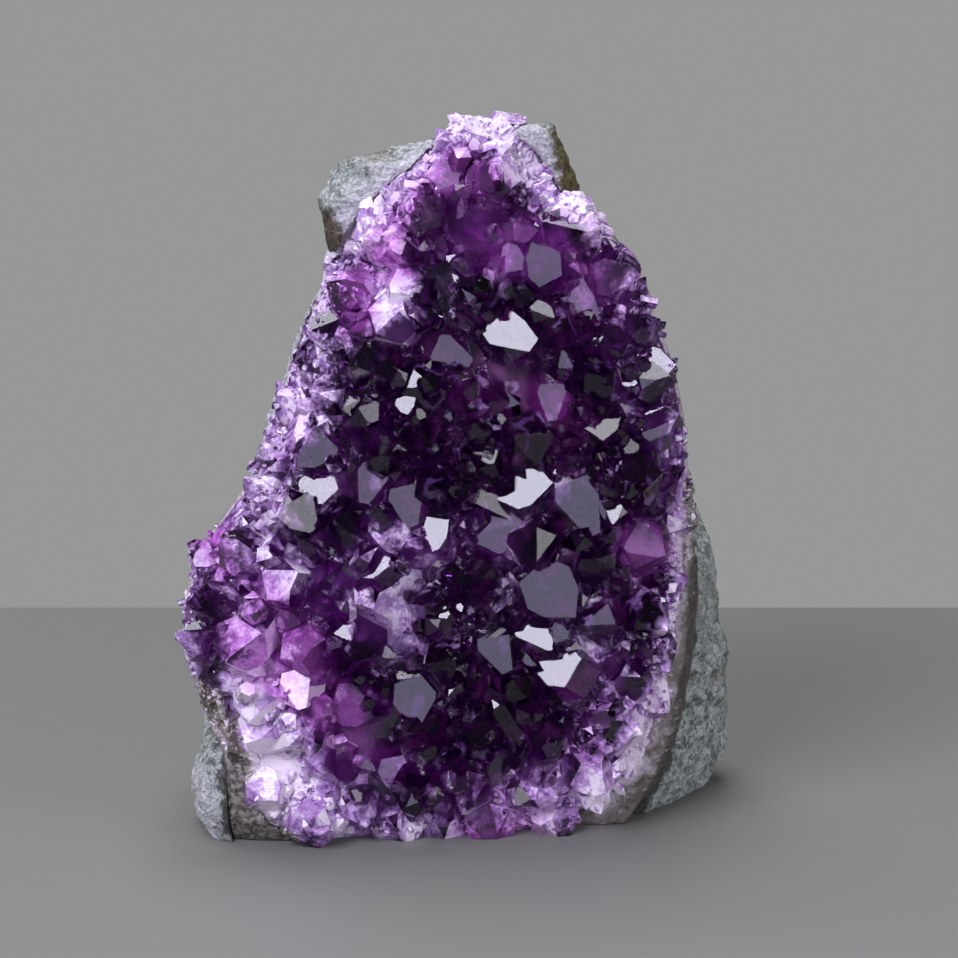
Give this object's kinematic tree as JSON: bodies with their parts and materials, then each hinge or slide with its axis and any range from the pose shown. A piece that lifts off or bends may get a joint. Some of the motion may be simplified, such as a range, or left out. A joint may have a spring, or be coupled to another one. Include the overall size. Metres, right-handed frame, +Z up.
{
  "type": "amethyst cluster",
  "caption": "Free-standing amethyst cluster: a druse of purple quartz points on a chalcedony rim and a lump of basalt host rock, sawn flat to stand upright",
  "frame": {"origin": "on the sawn base, near the middle of its rock, where the cluster rests", "axes": "+X to the right when the crystals face the viewer, +Y from the crystal face back into the rock, +Z up"},
  "size_m": [0.1168, 0.0778, 0.1494],
  "materials": {
    "amethyst": "natural glassy quartz points, violet at the tips and milky at the root",
    "chalcedony": "waxy brown and olive broken edge",
    "basalt": "rough broken rock, sawn flat underneath"
  },
  "bodies": {
    "root": {"amethyst_crust": "amethyst", "chalcedony_band": "chalcedony", "basalt_matrix": "basalt"}
  },
  "joints": []
}
